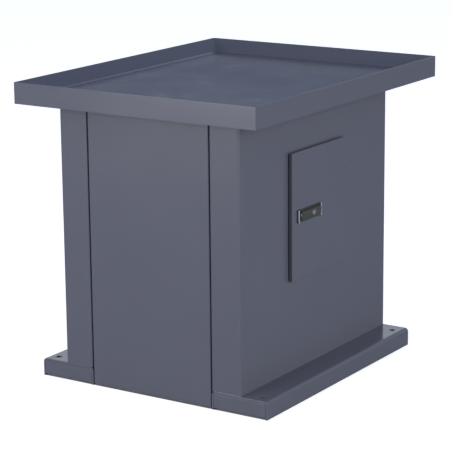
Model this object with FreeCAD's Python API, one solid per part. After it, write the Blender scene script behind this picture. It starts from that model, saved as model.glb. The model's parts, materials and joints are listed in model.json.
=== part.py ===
"""Sheet-steel machine stand: chip tray on a folded cabinet with a side door and two base channels.

X runs along the front, Y towards the rear and Z up. The origin is on the floor, under the middle
of the tray. All sizes are in millimetres.
"""
import FreeCAD, Part
import math
import os

Vector = FreeCAD.Vector
ORIGIN = Vector(0, 0, 0)
X_AXIS = Vector(1, 0, 0)
Y_AXIS = Vector(0, 1, 0)
Z_AXIS = Vector(0, 0, 1)

# ---------------------------------------------------------------- driving sizes
# Chip tray
overall_height = 711.0
rim_height = 50.0            # height of the outer skirt
floor_drop = 29.5            # from the rim's top down to the tray's floor
slope_run = 35.0             # from the skirt's outer face in to the floor's bend
rim_land = 3.0               # flat top of the fold
tray_sheet = 2.0
tray_edge_radius = 1.5

# Cabinet body
cabinet_width = 486.0
cabinet_depth = 664.0
side_overhang = 81.0         # tray's side beyond the cabinet's side
front_overhang = 60.0        # tray's front beyond the cabinet's front
rear_overhang = 100.0        # tray's rear beyond the cabinet's rear
shell_sheet = 2.0
corner_radius = 6.0          # outside radius of the four corner bends
seam_spacing = 330.0         # between the two seams of the front or the rear
seam_gap = 3.0
seam_flange = 22.0           # depth of the flanges that meet at a seam
seam_radius = 3.0            # outside radius of the bends beside a seam

# Base channels
base_overhang = 69.0         # channel's outer side beyond the cabinet's side
base_height = 43.0
channel_plate = 5.0
channel_radius = 9.0         # outside radius of the bends
base_seam_gap = 2.0          # between a channel and the front panel's foot
cap_plate = 4.0
foot_gap = 4.5               # floor to the caps and to the panels' lower edges
anchor_hole_diameter = 13.0
anchor_side_inset = 27.0     # from a channel's outer side
anchor_front_inset = 26.0
anchor_rear_inset = 36.0

# Inner frame
rail_leg = 40.0
rail_plate = 4.0
rail_radius = 6.0
rail_clearance = 4.0         # between a seam flange and the rail behind it
bar_width = 60.0
bar_thickness = 10.0
bar_spacing = 360.0
pan_sheet = 2.0
pan_lip = 20.0
pan_radius = 3.0
pan_clearance = 1.0

# Workshop allowances
cut_overrun = 1.0            # how far a cutting shape passes the face that it opens

# Fasteners
seam_bolt_diameter = 6.0
seam_bolt_head_height = 4.0
seam_bolt_across_flats = 10.0
seam_nut_height = 5.0
seam_bolt_length = 20.0
seam_bolt_inset = 13.0       # from the face of the panel
seam_bolt_count = 4
seam_bolt_end = 80.0         # from either end of a seam to its last bolt
stud_diameter = 8.0
stud_length = 20.0
stud_across_flats = 13.0
stud_nut_height = 6.5
stud_washer_diameter = 16.0
stud_washer_thickness = 1.6
stud_count = 3               # on each side rail
stud_end = 90.0              # from a rail's end to its last stud
bolt_clearance = 0.5         # hole radius beyond the bolt's

# Door and its opening
door_width = 237.0
door_height = 298.0
door_front_inset = 203.0     # cabinet's front to the door's front edge
door_top_inset = 121.5       # cabinet's top to the door's top edge
door_sheet = 1.5
door_depth = 8.5             # depth of the door's folded edge
door_gap = 3.0               # folded edge to the side panel
door_radius = 2.0
door_overlap = 12.0
opening_radius = 6.0
lip_sheet = 2.0
lip_depth = 8.0
seal_width = 7.0
seal_inset = 1.0             # folded edge to the seal
seal_clearance = 0.3         # seal to the side panel

# Hinges
barrel_radius = 4.0
barrel_length = 24.0
barrel_clearance = 0.3
hinge_pin_radius = 2.5
hinge_running_clearance = 0.05
hinge_washer = 1.0
hinge_cap = 3.0              # closed end of a door barrel
hinge_inset = 35.0           # door's end to the hinge

# Latch
latch_length = 104.0
latch_height = 30.0
latch_plate_thickness = 2.0
latch_inset = 20.0           # door's front edge to the plate
latch_radius = 2.0
end_bar_width = 4.5
end_bar_height = 4.0
pivot_inset = 16.0           # plate's front end to the lever's pivot
boss_radius = 10.0
boss_length = 12.0
boss_clearance = 0.2
latch_nut_across_flats = 27.0
latch_nut_height = 5.0
rotor_radius = 6.0
rotor_running_clearance = 0.05
rotor_head_radius = 7.2
rotor_head_height = 0.8
rotor_square = 8.0
lever_half_width = 9.5
lever_thickness = 5.0
lever_lift = 0.4             # plate to the lever's underside
lever_tip_clearance = 1.0
lever_edge_radius = 1.2
grip_length = 10.0
grip_depth = 2.0
lock_distance = 48.0         # pivot to the lock's axis
lock_radius = 6.5
lock_proud = 1.5
plug_radius = 4.5
plug_proud = 0.3
plug_floor = 0.8
key_slot_length = 6.0
key_slot_width = 1.2
key_slot_depth = 3.0
pin_distance = 64.0          # pivot to the locking pin
pin_radius = 2.0
pin_length = 4.0
pin_travel = 1.8
pin_hole_clearance = 0.3
cam_thickness = 3.0
cam_gap = 1.0                # opening's lip to the cam
cam_hub_radius = 10.0
cam_width = 16.0
cam_square_clearance = 0.1
cam_screw_radius = 2.5
cam_screw_head_radius = 4.5
cam_screw_head_height = 4.0
cam_screw_length = 10.0
plate_screw_distance = 74.0  # pivot to the plate's fixing screw
plate_screw_radius = 2.0
plate_screw_head_radius = 4.5
plate_screw_head_height = 3.0

# ---------------------------------------------------------------- places worked out from them
half_width = cabinet_width / 2
tray_width = cabinet_width + 2 * side_overhang
tray_depth = front_overhang + cabinet_depth + rear_overhang
cabinet_front = -tray_depth / 2 + front_overhang
cabinet_rear = cabinet_front + cabinet_depth
cabinet_middle = (cabinet_front + cabinet_rear) / 2
rim_bottom = overall_height - rim_height
tray_floor = overall_height - floor_drop
seat_height = tray_floor - tray_sheet
seam_x = seam_spacing / 2
shell_edge = seam_x + seam_gap / 2
panel_edge = seam_x - seam_gap / 2
channel_inner = panel_edge + base_seam_gap
channel_outer = half_width + base_overhang
inner_wall = half_width - shell_sheet
rail_front = cabinet_front + seam_flange + rail_clearance
rail_rear = cabinet_rear - seam_flange - rail_clearance
rail_edge = inner_wall - rail_leg
stud_x = inner_wall - rail_leg / 2

door_y0 = cabinet_front + door_front_inset
door_y1 = door_y0 + door_width
door_top = seat_height - door_top_inset
door_bottom = door_top - door_height
door_back = half_width + door_gap
door_face = door_back + door_depth
door_inner = door_face - door_sheet
opening_y0 = door_y0 + door_overlap
opening_y1 = door_y1 - door_overlap
opening_z0 = door_bottom + door_overlap
opening_z1 = door_top - door_overlap
lip_end = inner_wall - lip_depth

hinge_x = half_width + barrel_radius + barrel_clearance
hinge_y = door_y1 + barrel_radius + barrel_clearance
hinge_length = 2 * barrel_length + hinge_washer

latch_y0 = door_y0 + latch_inset
latch_y1 = latch_y0 + latch_length
latch_z = door_bottom + door_height / 2
pivot_y = latch_y0 + pivot_inset
plate_face = door_face + latch_plate_thickness
lever_under = plate_face + lever_lift
lever_face = lever_under + lever_thickness
lever_reach = latch_length - pivot_inset - end_bar_width - lever_tip_clearance
cam_outer = lip_end - cam_gap
cam_inner = cam_outer - cam_thickness
cam_reach = pivot_y - opening_y0 + door_overlap


# ---------------------------------------------------------------- shapes that are used again
def block(x0, y0, z0, x1, y1, z1):
    return Part.makeBox(x1 - x0, y1 - y0, z1 - z0, Vector(x0, y0, z0))


def rod(radius, start, end):
    start = Vector(*start)
    along = Vector(*end) - start
    return Part.makeCylinder(radius, along.Length, start, along)


def hexagon(across_flats, bore_radius, start, end):
    """A hexagonal nut or bolt head along X, with a bore where bore_radius isn't 0."""
    start = Vector(*start)
    along = Vector(*end) - start
    corner = across_flats / math.sqrt(3)
    turns = [math.radians(60 * i + 30) for i in range(7)]
    ring = [start + Vector(0, corner * math.cos(a), corner * math.sin(a)) for a in turns]
    solid = Part.Face(Part.makePolygon(ring)).extrude(along)
    if bore_radius:
        solid = solid.cut(Part.makeCylinder(bore_radius, along.Length, start, along))
    return solid


def hexagon_upright(across_flats, bore_radius, centre, height):
    """The same nut standing on Z, from its lower face."""
    nut = hexagon(across_flats, bore_radius, (0, 0, 0), (height, 0, 0))
    nut.rotate(ORIGIN, Y_AXIS, -90)
    nut.translate(Vector(*centre))
    return nut


def rounded_path(points, radii):
    """Edges along a line of points, with an arc of the given radius at each inner point."""
    edges = []
    start = points[0]
    for i, radius in enumerate(radii, 1):
        corner = points[i]
        back = (points[i - 1] - corner).normalize()
        ahead = (points[i + 1] - corner).normalize()
        half = back.getAngle(ahead) / 2
        reach = radius / math.tan(half)
        middle = corner + (back + ahead).normalize() * (radius / math.sin(half) - radius)
        edges.append(Part.LineSegment(start, corner + back * reach).toShape())
        arc = Part.Arc(corner + back * reach, middle, corner + ahead * reach)
        edges.append(arc.toShape())
        start = corner + ahead * reach
    edges.append(Part.LineSegment(start, points[-1]).toShape())
    return edges


def folded_sheet(outline, sheet, radii, length):
    """A folded sheet along Z. Its outer face follows the outline, and every fold turns left."""
    outer = [Vector(u, v, 0) for u, v in outline]
    runs = [(b - a).normalize() for a, b in zip(outer, outer[1:])]
    sides = [Vector(-run.y, run.x, 0) * sheet for run in runs]
    inner = [outer[0] + sides[0]]
    for point, before, after in zip(outer[1:-1], sides, sides[1:]):
        inner.append(point + before + after)
    inner.append(outer[-1] + sides[-1])
    edges = rounded_path(outer, radii)
    edges += rounded_path(inner, [radius - sheet for radius in radii])
    edges.append(Part.LineSegment(outer[0], inner[0]).toShape())
    edges.append(Part.LineSegment(outer[-1], inner[-1]).toShape())
    wire = Part.Wire(Part.__sortEdges__(edges))
    return Part.Face(wire).extrude(Vector(0, 0, length))


def along_x(shape, start):
    """Turns a shape drawn in (y, z) and drawn out along Z, so that it runs along X."""
    shape.rotate(ORIGIN, Vector(1, 1, 1), 120)
    shape.translate(Vector(start, 0, 0))
    return shape


def along_y(shape, end):
    """Turns a shape drawn in (x, z) and drawn out along Z, so that it ends at end along Y."""
    shape.rotate(ORIGIN, X_AXIS, 90)
    shape.translate(Vector(0, end, 0))
    return shape


def rounded_block(y0, y1, z0, z1, x0, x1, radius):
    """A block with its four edges along X rounded."""
    solid = block(x0, y0, z0, x1, y1, z1)
    edges = [e for e in solid.Edges if abs(e.Vertexes[0].X - e.Vertexes[1].X) > 1e-6]
    return solid.makeFillet(radius, edges)


def mirrored_x(shape):
    return shape.mirror(ORIGIN, X_AXIS)


def mirrored_y(shape):
    """The same piece at the cabinet's other end."""
    return shape.mirror(Vector(0, cabinet_middle, 0), Y_AXIS)


def spread(low, high, count):
    return [low + (high - low) * i / (count - 1) for i in range(count)]


# ---------------------------------------------------------------- chip tray
def basin(half_x, half_y, z):
    corners = [(-half_x, -half_y), (half_x, -half_y), (half_x, half_y), (-half_x, half_y)]
    ring = [Vector(x, y, z) for x, y in corners + corners[:1]]
    return Part.makePolygon(ring)


def chip_tray():
    half_x = tray_width / 2
    half_y = tray_depth / 2
    slope = slope_run - rim_land
    widening = slope / floor_drop
    shift = tray_sheet * math.sqrt(1 + widening ** 2)
    lower = slope_run - shift + tray_sheet * widening
    top = overall_height
    body = block(-half_x, -half_y, rim_bottom, half_x, half_y, top)
    upright = [e for e in body.Edges if abs(e.Vertexes[0].Z - e.Vertexes[1].Z) > 1e-6]
    rim = [e for e in body.Edges if e.BoundBox.ZMin > top - 1e-6]
    body = body.makeFillet(tray_edge_radius, upright + rim)
    upper_side = Part.makeLoft([
        basin(half_x - slope_run, half_y - slope_run, tray_floor),
        basin(half_x - rim_land, half_y - rim_land, top),
    ], True, True)
    under_side = Part.makeLoft([
        basin(half_x - lower, half_y - lower, seat_height),
        basin(half_x - rim_land + shift, half_y - rim_land + shift, top),
    ], True, True)
    inset = tray_sheet
    hollow = block(-half_x + inset, -half_y + inset, rim_bottom,
                   half_x - inset, half_y - inset, top - tray_sheet)
    return body.cut(upper_side).cut(hollow.cut(under_side))


def stud_places():
    ys = spread(rail_front + stud_end, rail_rear - stud_end, stud_count)
    return [(x, y) for x in (-stud_x, stud_x) for y in ys]


def tray_studs():
    low = seat_height - stud_length
    return [rod(stud_diameter / 2, (x, y, low), (x, y, seat_height)) for x, y in stud_places()]


def tray_washers():
    top = seat_height - rail_plate
    low = top - stud_washer_thickness
    washers = []
    for x, y in stud_places():
        disc = rod(stud_washer_diameter / 2, (x, y, low), (x, y, top))
        washers.append(disc.cut(rod(stud_diameter / 2 + bolt_clearance, (x, y, low), (x, y, top))))
    return washers


def tray_nuts():
    low = seat_height - rail_plate - stud_washer_thickness - stud_nut_height
    return [hexagon_upright(stud_across_flats, stud_diameter / 2, (x, y, low), stud_nut_height)
            for x, y in stud_places()]


# ---------------------------------------------------------------- cabinet body
def seam_bolt_heights():
    return spread(base_height + seam_bolt_end, seat_height - seam_bolt_end, seam_bolt_count)


def seam_bolt_holes():
    """The holes of the four seams, each through both flanges."""
    radius = seam_bolt_diameter / 2 + bolt_clearance
    reach = seam_gap / 2 + 2 * shell_sheet
    holes = []
    for x in (-seam_x, seam_x):
        for y in (cabinet_front + seam_bolt_inset, cabinet_rear - seam_bolt_inset):
            holes += [rod(radius, (x - reach, y, z), (x + reach, y, z)) for z in seam_bolt_heights()]
    return Part.makeCompound(holes)


def side_shell():
    """The right-hand shell without its opening: a column, the side and a rear column."""
    outline = [
        (shell_edge, cabinet_front + seam_flange),
        (shell_edge, cabinet_front),
        (half_width, cabinet_front),
        (half_width, cabinet_rear),
        (shell_edge, cabinet_rear),
        (shell_edge, cabinet_rear - seam_flange),
    ]
    radii = [seam_radius, corner_radius, corner_radius, seam_radius]
    shell = folded_sheet(outline, shell_sheet, radii, seat_height - base_height)
    shell.translate(Vector(0, 0, base_height))
    return shell.cut(seam_bolt_holes())


def right_side_shell():
    opening = rounded_block(opening_y0, opening_y1, opening_z0, opening_z1,
                            inner_wall - shell_sheet, half_width + shell_sheet, opening_radius)
    return side_shell().cut(opening)


def front_panel():
    outline = [
        (-panel_edge, cabinet_front + seam_flange),
        (-panel_edge, cabinet_front),
        (panel_edge, cabinet_front),
        (panel_edge, cabinet_front + seam_flange),
    ]
    panel = folded_sheet(outline, shell_sheet, [seam_radius, seam_radius], seat_height - foot_gap)
    panel.translate(Vector(0, 0, foot_gap))
    return panel.cut(seam_bolt_holes())


def seam_seal():
    """The strip between the two flanges of the right-hand front seam."""
    strip = block(panel_edge, cabinet_front + 2 * seam_radius, base_height,
                  shell_edge, cabinet_front + seam_flange, seat_height)
    return strip.cut(seam_bolt_holes())


def seam_bolts():
    """The bolts of the two front seams, with their heads in the columns."""
    y = cabinet_front + seam_bolt_inset
    seat = shell_edge + shell_sheet
    bolts = []
    for z in seam_bolt_heights():
        head = hexagon(seam_bolt_across_flats, 0, (seat, y, z), (seat + seam_bolt_head_height, y, z))
        shank = rod(seam_bolt_diameter / 2, (seat - seam_bolt_length, y, z), (seat, y, z))
        bolt = head.fuse(shank)
        bolts += [bolt, mirrored_x(bolt)]
    return bolts


def seam_nuts():
    y = cabinet_front + seam_bolt_inset
    seat = panel_edge - shell_sheet
    nuts = []
    for z in seam_bolt_heights():
        nut = hexagon(seam_bolt_across_flats, seam_bolt_diameter / 2,
                      (seat - seam_nut_height, y, z), (seat, y, z))
        nuts += [nut, mirrored_x(nut)]
    return nuts


# ---------------------------------------------------------------- base
def base_channel():
    """The right-hand channel, open downwards."""
    outline = [
        (channel_outer, 0),
        (channel_outer, base_height),
        (channel_inner, base_height),
        (channel_inner, 0),
    ]
    channel = folded_sheet(outline, channel_plate, [channel_radius, channel_radius], cabinet_depth)
    channel = along_y(channel, cabinet_rear)
    x = channel_outer - anchor_side_inset
    for y in (cabinet_front + anchor_front_inset, cabinet_rear - anchor_rear_inset):
        hole = rod(anchor_hole_diameter / 2, (x, y, base_height - 2 * channel_plate),
                   (x, y, base_height + channel_plate))
        channel = channel.cut(hole)
    return channel


def end_cap():
    """The plate that closes the right-hand channel's front end."""
    top = base_height - channel_plate
    cap = block(channel_inner + channel_plate, cabinet_front, foot_gap,
                channel_outer - channel_plate, cabinet_front + cap_plate, top)
    edges = [e for e in cap.Edges if e.BoundBox.ZMin > top - 1e-6
             and abs(e.Vertexes[0].Y - e.Vertexes[1].Y) > 1e-6]
    return cap.makeFillet(channel_radius - channel_plate, edges)


def base_tie():
    """The angle between the two channels, behind the front panel's foot."""
    outline = [
        (rail_front + rail_leg, base_height),
        (rail_front, base_height),
        (rail_front, foot_gap),
    ]
    tie = folded_sheet(outline, rail_plate, [rail_radius], 2 * channel_inner)
    return along_x(tie, -channel_inner)


def bottom_pan():
    """The cabinet's floor plate on the channels, with its front and rear edges turned up."""
    y0 = rail_front + pan_clearance
    y1 = rail_rear - pan_clearance
    top = base_height + pan_lip
    outline = [(y0, top), (y0, base_height), (y1, base_height), (y1, top)]
    reach = inner_wall - pan_clearance
    plate = folded_sheet(outline, pan_sheet, [pan_radius, pan_radius], 2 * reach)
    return along_x(plate, -reach)


# ---------------------------------------------------------------- top frame
def side_rail():
    """The right-hand top rail, with the holes for the tray's studs."""
    outline = [
        (inner_wall, seat_height - rail_leg),
        (inner_wall, seat_height),
        (rail_edge, seat_height),
    ]
    rail = folded_sheet(outline, rail_plate, [rail_radius], rail_rear - rail_front)
    rail = along_y(rail, rail_rear)
    for x, y in stud_places():
        rail = rail.cut(rod(stud_diameter / 2 + bolt_clearance,
                            (x, y, seat_height - 2 * rail_plate), (x, y, seat_height + cut_overrun)))
    return rail


def cross_rail():
    """The front top rail, between the two side rails."""
    outline = [
        (rail_front + rail_leg, seat_height),
        (rail_front, seat_height),
        (rail_front, seat_height - rail_leg),
    ]
    rail = folded_sheet(outline, rail_plate, [rail_radius], 2 * rail_edge)
    return along_x(rail, -rail_edge)


def mounting_bar():
    """The front bar under the tray's floor, which a machine's bolts go into."""
    y = cabinet_middle - bar_spacing / 2
    return block(-rail_edge, y - bar_width / 2, seat_height - bar_thickness,
                 rail_edge, y + bar_width / 2, seat_height)


# ---------------------------------------------------------------- door
def opening_lip():
    outer = rounded_block(opening_y0 - lip_sheet, opening_y1 + lip_sheet,
                          opening_z0 - lip_sheet, opening_z1 + lip_sheet,
                          lip_end, inner_wall, opening_radius + lip_sheet)
    hole = rounded_block(opening_y0, opening_y1, opening_z0, opening_z1,
                         lip_end - lip_sheet, inner_wall + lip_sheet, opening_radius)
    return outer.cut(hole)


def door_pan():
    pan = block(door_back, door_y0, door_bottom, door_face, door_y1, door_top)
    corners = [e for e in pan.Edges if abs(e.Vertexes[0].X - e.Vertexes[1].X) > 1e-6]
    front = [e for e in pan.Edges if e.BoundBox.XMin > door_face - 1e-6]
    pan = pan.makeFillet(door_radius, corners + front)
    pan = pan.cut(block(door_back - cut_overrun, door_y0 + door_sheet, door_bottom + door_sheet,
                        door_inner, door_y1 - door_sheet, door_top - door_sheet))
    pivot_hole = rod(boss_radius + boss_clearance, (door_back, pivot_y, latch_z),
                     (door_face + cut_overrun, pivot_y, latch_z))
    screw_y = pivot_y + plate_screw_distance
    screw_hole = rod(plate_screw_radius + boss_clearance, (door_back, screw_y, latch_z),
                     (door_face + cut_overrun, screw_y, latch_z))
    return pan.cut(pivot_hole).cut(screw_hole)


def door_seal():
    inset = door_sheet + seal_inset
    inner = inset + seal_width
    low = half_width + seal_clearance
    ring = block(low, door_y0 + inset, door_bottom + inset,
                 door_inner, door_y1 - inset, door_top - inset)
    return ring.cut(block(low, door_y0 + inner, door_bottom + inner,
                          door_inner, door_y1 - inner, door_top - inner))


def frame_barrel(z):
    """The lower half of a hinge, welded to the side panel by its foot."""
    centre = (hinge_x, hinge_y, z)
    end = (hinge_x, hinge_y, z + barrel_length)
    foot = block(half_width, hinge_y, z, hinge_x, hinge_y + barrel_radius, z + barrel_length)
    return rod(barrel_radius, centre, end).fuse(foot).cut(rod(hinge_pin_radius, centre, end))


def door_barrel(z):
    """The upper half of a hinge, welded to the door's folded edge by its foot."""
    low = z + barrel_length + hinge_washer
    top = low + barrel_length
    foot = block(hinge_x, door_y1, low, hinge_x + barrel_radius, hinge_y, top)
    barrel = rod(barrel_radius, (hinge_x, hinge_y, low), (hinge_x, hinge_y, top)).fuse(foot)
    return barrel.cut(rod(hinge_pin_radius + hinge_running_clearance,
                          (hinge_x, hinge_y, low), (hinge_x, hinge_y, top - hinge_cap)))


def hinge_pin(z):
    top = z + hinge_length - hinge_cap - barrel_clearance
    return rod(hinge_pin_radius, (hinge_x, hinge_y, z), (hinge_x, hinge_y, top))


def hinge_washer_ring(z):
    low = (hinge_x, hinge_y, z + barrel_length)
    high = (hinge_x, hinge_y, z + barrel_length + hinge_washer)
    bore = hinge_pin_radius + hinge_running_clearance
    return rod(barrel_radius, low, high).cut(rod(bore, low, high))


# ---------------------------------------------------------------- latch
def at_pivot(distance, x):
    """A point on the latch's middle line, at a distance from the lever's pivot."""
    return (x, pivot_y + distance, latch_z)


def latch_plate():
    z0 = latch_z - latch_height / 2
    z1 = latch_z + latch_height / 2
    plate = rounded_block(latch_y0, latch_y1, z0, z1, door_face, plate_face, latch_radius)
    raised = rounded_block(latch_y0, latch_y1, z0, z1, plate_face, plate_face + end_bar_height, latch_radius)
    between = block(plate_face, latch_y0 + end_bar_width, z0 - cut_overrun,
                    plate_face + end_bar_height, latch_y1 - end_bar_width, z1 + cut_overrun)
    boss = rod(boss_radius, at_pivot(0, door_face - boss_length), at_pivot(0, plate_face))
    plate = plate.fuse(raised.cut(between)).fuse(boss)
    bore = rod(rotor_radius + rotor_running_clearance, at_pivot(0, door_face - boss_length),
               at_pivot(0, plate_face))
    pin_hole = rod(pin_radius + pin_hole_clearance, at_pivot(pin_distance, door_face),
                   at_pivot(pin_distance, plate_face))
    screw_hole = rod(plate_screw_radius, at_pivot(plate_screw_distance, door_face),
                     at_pivot(plate_screw_distance, plate_face))
    return plate.cut(bore).cut(pin_hole).cut(screw_hole).removeSplitter()


def latch_nut():
    return hexagon(latch_nut_across_flats, boss_radius,
                   at_pivot(0, door_inner - latch_nut_height), at_pivot(0, door_inner))


def latch_screw():
    shank = rod(plate_screw_radius, at_pivot(plate_screw_distance, door_inner),
                at_pivot(plate_screw_distance, plate_face))
    head = rod(plate_screw_head_radius,
               at_pivot(plate_screw_distance, door_inner - plate_screw_head_height),
               at_pivot(plate_screw_distance, door_inner))
    return head.fuse(shank)


def latch_lever():
    """A flat lever whose tip is round about the pivot, with room for a finger under it."""
    z0 = latch_z - lever_half_width
    z1 = latch_z + lever_half_width
    reach = block(lever_under, pivot_y, z0, lever_face, pivot_y + lever_reach, z1)
    sweep = rod(lever_reach, at_pivot(0, lever_under), at_pivot(0, lever_face))
    hub = rod(lever_half_width, at_pivot(0, lever_under), at_pivot(0, lever_face))
    lever = reach.common(sweep).fuse(hub).removeSplitter()
    rim = [e for e in lever.Edges if e.BoundBox.XMin > lever_face - 1e-6]
    lever = lever.makeFillet(lever_edge_radius, rim)
    grip = block(lever_under, pivot_y + lever_reach - grip_length, z0,
                 lever_under + grip_depth, pivot_y + lever_reach, z1)
    pivot_hole = rod(rotor_radius, at_pivot(0, lever_under), at_pivot(0, lever_face))
    lock_hole = rod(lock_radius, at_pivot(lock_distance, lever_under),
                    at_pivot(lock_distance, lever_face))
    pin_hole = rod(pin_radius + rotor_running_clearance, at_pivot(pin_distance, lever_under),
                   at_pivot(pin_distance, lever_under + pin_length))
    return lever.cut(grip).cut(pivot_hole).cut(lock_hole).cut(pin_hole)


def latch_rotor():
    """The lever's shaft: a flat head, a round shank and a square end for the cam."""
    head = rod(rotor_head_radius, at_pivot(0, lever_face), at_pivot(0, lever_face + rotor_head_height))
    shank = rod(rotor_radius, at_pivot(0, cam_outer), at_pivot(0, lever_face))
    half = rotor_square / 2
    square = block(cam_inner, pivot_y - half, latch_z - half, cam_outer, pivot_y + half, latch_z + half)
    tapping = rod(cam_screw_radius, at_pivot(0, cam_inner), at_pivot(0, cam_inner + cam_screw_length))
    return head.fuse(shank).fuse(square).cut(tapping)


def latch_cam():
    """At rest the cam hangs down and the door is free. A quarter turn puts it behind the lip."""
    half = rotor_square / 2 + cam_square_clearance
    end_radius = cam_width / 2
    end_z = latch_z - cam_reach + end_radius
    hub = rod(cam_hub_radius, at_pivot(0, cam_inner), at_pivot(0, cam_outer))
    arm = block(cam_inner, pivot_y - end_radius, end_z, cam_outer, pivot_y + end_radius, latch_z)
    tip = rod(end_radius, (cam_inner, pivot_y, end_z), (cam_outer, pivot_y, end_z))
    hole = block(cam_inner, pivot_y - half, latch_z - half, cam_outer, pivot_y + half, latch_z + half)
    return hub.fuse(arm).fuse(tip).cut(hole).removeSplitter()


def cam_screw():
    head = rod(cam_screw_head_radius, at_pivot(0, cam_inner - cam_screw_head_height),
               at_pivot(0, cam_inner))
    shank = rod(cam_screw_radius, at_pivot(0, cam_inner), at_pivot(0, cam_inner + cam_screw_length))
    return head.fuse(shank)


def lock_barrel():
    barrel = rod(lock_radius, at_pivot(lock_distance, lever_under),
                 at_pivot(lock_distance, lever_face + lock_proud))
    bore = rod(plug_radius + rotor_running_clearance,
               at_pivot(lock_distance, lever_under + plug_floor),
               at_pivot(lock_distance, lever_face + lock_proud))
    return barrel.cut(bore)


def lock_plug():
    face = lever_face + lock_proud + plug_proud
    y = pivot_y + lock_distance
    low = lever_under + plug_floor + rotor_running_clearance
    plug = rod(plug_radius, at_pivot(lock_distance, low), at_pivot(lock_distance, face))
    slot = block(face - key_slot_depth, y - key_slot_width / 2, latch_z - key_slot_length / 2,
                 face, y + key_slot_width / 2, latch_z + key_slot_length / 2)
    return plug.cut(slot)


def lock_pin():
    """Rests inside the lever. The key pushes it out into the plate by pin_travel."""
    start = lever_under + rotor_running_clearance
    end = lever_under + pin_length - rotor_running_clearance
    return rod(pin_radius, at_pivot(pin_distance, start), at_pivot(pin_distance, end))


# ---------------------------------------------------------------- the assembly
def group(solids):
    return Part.makeCompound(solids)


def assembly():
    shell = side_shell()
    channel = base_channel()
    cap = end_cap()
    panel = front_panel()
    tie = base_tie()
    seal = seam_seal()
    bolts = group(seam_bolts())
    rail = side_rail()
    nodes = {
        "chip_tray": chip_tray(),
        "tray_studs": group(tray_studs()),
        "tray_washers": group(tray_washers()),
        "tray_nuts": group(tray_nuts()),
        "left_side_shell": mirrored_x(shell),
        "right_side_shell": right_side_shell(),
        "front_panel": panel,
        "rear_panel": mirrored_y(panel),
        "front_right_seam_seal": seal,
        "front_left_seam_seal": mirrored_x(seal),
        "rear_right_seam_seal": mirrored_y(seal),
        "rear_left_seam_seal": mirrored_y(mirrored_x(seal)),
        "front_seam_bolts": bolts,
        "rear_seam_bolts": mirrored_y(bolts),
        "front_seam_nuts": group(seam_nuts()),
        "rear_seam_nuts": mirrored_y(group(seam_nuts())),
        "right_base_channel": channel,
        "left_base_channel": mirrored_x(channel),
        "front_right_end_cap": cap,
        "front_left_end_cap": mirrored_x(cap),
        "rear_right_end_cap": mirrored_y(cap),
        "rear_left_end_cap": mirrored_y(mirrored_x(cap)),
        "front_base_tie": tie,
        "rear_base_tie": mirrored_y(tie),
        "bottom_pan": bottom_pan(),
        "right_top_rail": rail,
        "left_top_rail": mirrored_x(rail),
        "front_top_rail": cross_rail(),
        "rear_top_rail": mirrored_y(cross_rail()),
        "front_mounting_bar": mounting_bar(),
        "rear_mounting_bar": mirrored_y(mounting_bar()),
        "opening_lip": opening_lip(),
        "door_pan": door_pan(),
        "door_seal": door_seal(),
        "latch_plate": latch_plate(),
        "latch_nut": latch_nut(),
        "latch_screw": latch_screw(),
        "latch_lever": latch_lever(),
        "latch_rotor": latch_rotor(),
        "latch_cam": latch_cam(),
        "cam_screw": cam_screw(),
        "lock_barrel": lock_barrel(),
        "lock_plug": lock_plug(),
        "lock_pin": lock_pin(),
    }
    hinge_heights = {
        "lower": door_bottom + hinge_inset,
        "upper": door_top - hinge_inset - hinge_length,
    }
    for place, z in hinge_heights.items():
        nodes[place + "_hinge_frame_barrel"] = frame_barrel(z)
        nodes[place + "_hinge_door_barrel"] = door_barrel(z)
        nodes[place + "_hinge_pin"] = hinge_pin(z)
        nodes[place + "_hinge_washer"] = hinge_washer_ring(z)
    return nodes


os.makedirs("parts", exist_ok=True)
for node, shape in assembly().items():
    shape.exportStep("parts/" + node + ".step")
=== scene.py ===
"""Looks of a sheet-steel machine stand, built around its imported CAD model.

The visible sheet metal and the latch are modelled here, in the places that the CAD gives them.
The inner frame, the fasteners and the hinges stay as the CAD made them and get their finishes.
"""
import json
import math

import bmesh
import bpy
from bpy.props import FloatProperty, FloatVectorProperty, PointerProperty
from bpy.types import Operator, Panel, PropertyGroup
from mathutils import Matrix, Vector


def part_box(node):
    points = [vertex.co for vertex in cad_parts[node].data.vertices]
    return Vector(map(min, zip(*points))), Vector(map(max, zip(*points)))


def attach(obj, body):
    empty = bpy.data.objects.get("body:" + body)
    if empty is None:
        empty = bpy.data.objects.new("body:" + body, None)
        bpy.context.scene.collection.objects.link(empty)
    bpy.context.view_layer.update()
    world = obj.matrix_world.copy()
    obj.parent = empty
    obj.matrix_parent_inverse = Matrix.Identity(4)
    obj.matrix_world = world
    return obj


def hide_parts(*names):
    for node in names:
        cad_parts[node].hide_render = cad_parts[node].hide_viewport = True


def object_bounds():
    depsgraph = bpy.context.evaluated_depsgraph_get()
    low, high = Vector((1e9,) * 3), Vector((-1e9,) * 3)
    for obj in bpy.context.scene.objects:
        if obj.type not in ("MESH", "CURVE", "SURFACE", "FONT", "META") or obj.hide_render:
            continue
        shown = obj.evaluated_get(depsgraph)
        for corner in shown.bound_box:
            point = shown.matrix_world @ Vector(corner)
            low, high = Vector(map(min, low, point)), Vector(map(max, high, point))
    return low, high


bl_info = {
    "name": "Machine Stand Looks",
    "version": (1, 0, 0),
    "blender": (4, 5, 0),
    "location": "View3D > Sidebar > Stand",
    "description": "Builds the sheet metal, the latch and the finishes of a machine stand",
    "category": "Object",
}

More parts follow.
